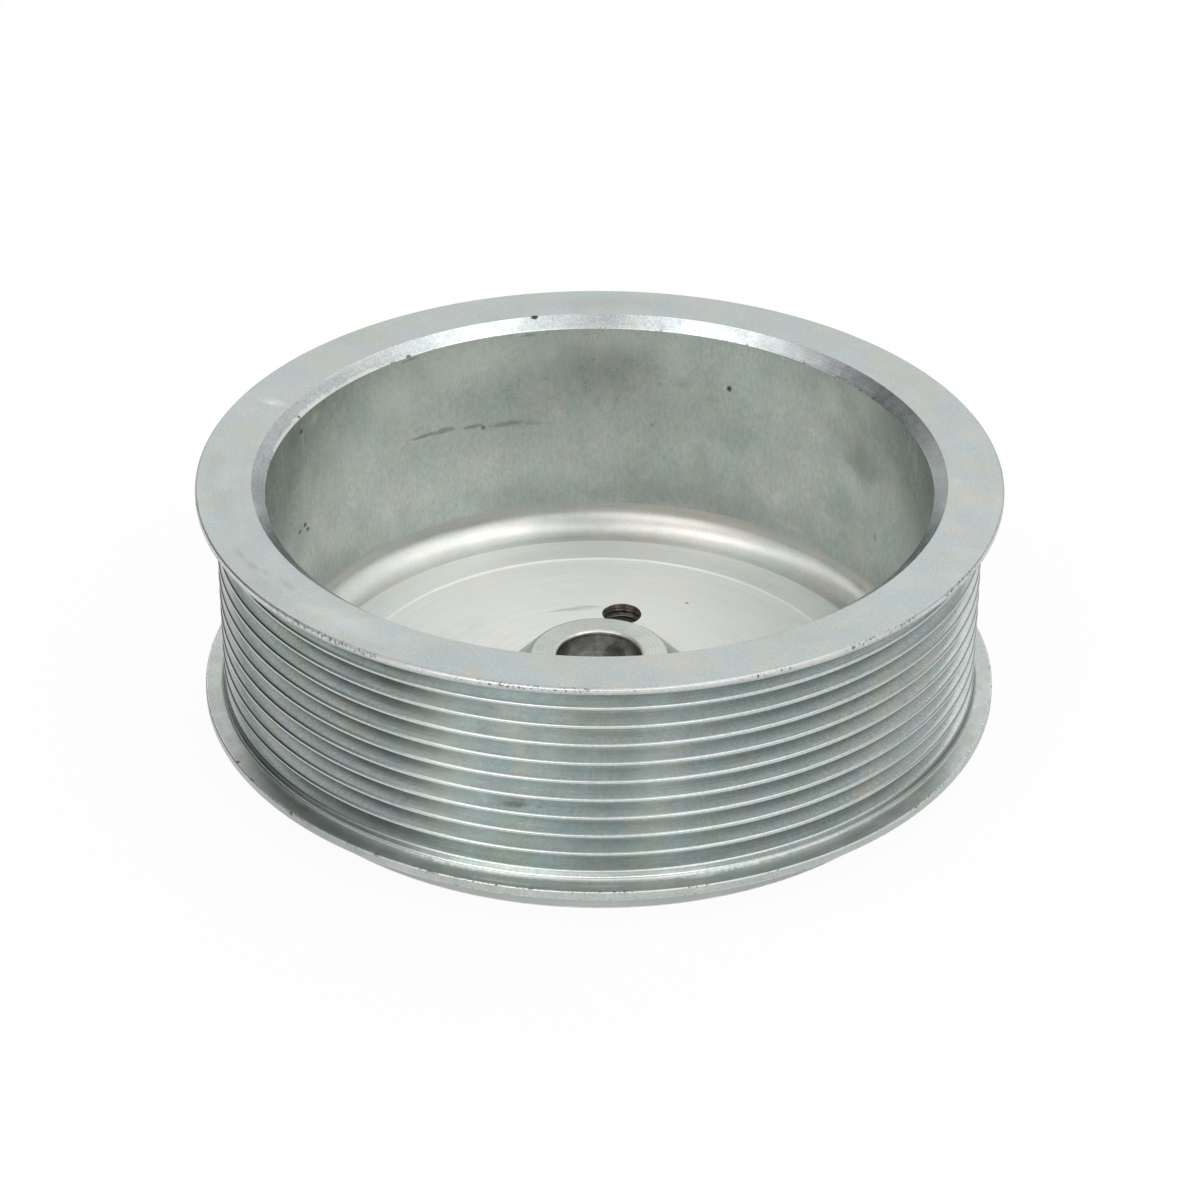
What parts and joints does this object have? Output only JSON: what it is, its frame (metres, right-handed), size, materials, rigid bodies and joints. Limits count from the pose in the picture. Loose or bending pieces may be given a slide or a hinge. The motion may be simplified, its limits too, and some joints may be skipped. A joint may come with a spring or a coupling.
{
  "type": "fan belt pulley",
  "caption": "Deep turned steel pulley for a ribbed fan belt: grooved wall between flanges, open cup inside, raised hub with a plain bore, and tapped puller holes in the web.",
  "frame": {"origin": "on the turning axis, at the level of the flat base", "axes": "+Z along the turning axis, from the base towards the open mouth of the cup; the puller holes lie on the Y axis"},
  "size_m": [0.1408, 0.1408, 0.048],
  "materials": {
    "zinc_plate": "bright zinc plate on turned steel, lightly worn"
  },
  "bodies": {
    "root": {"pulley": "zinc_plate"}
  },
  "joints": []
}
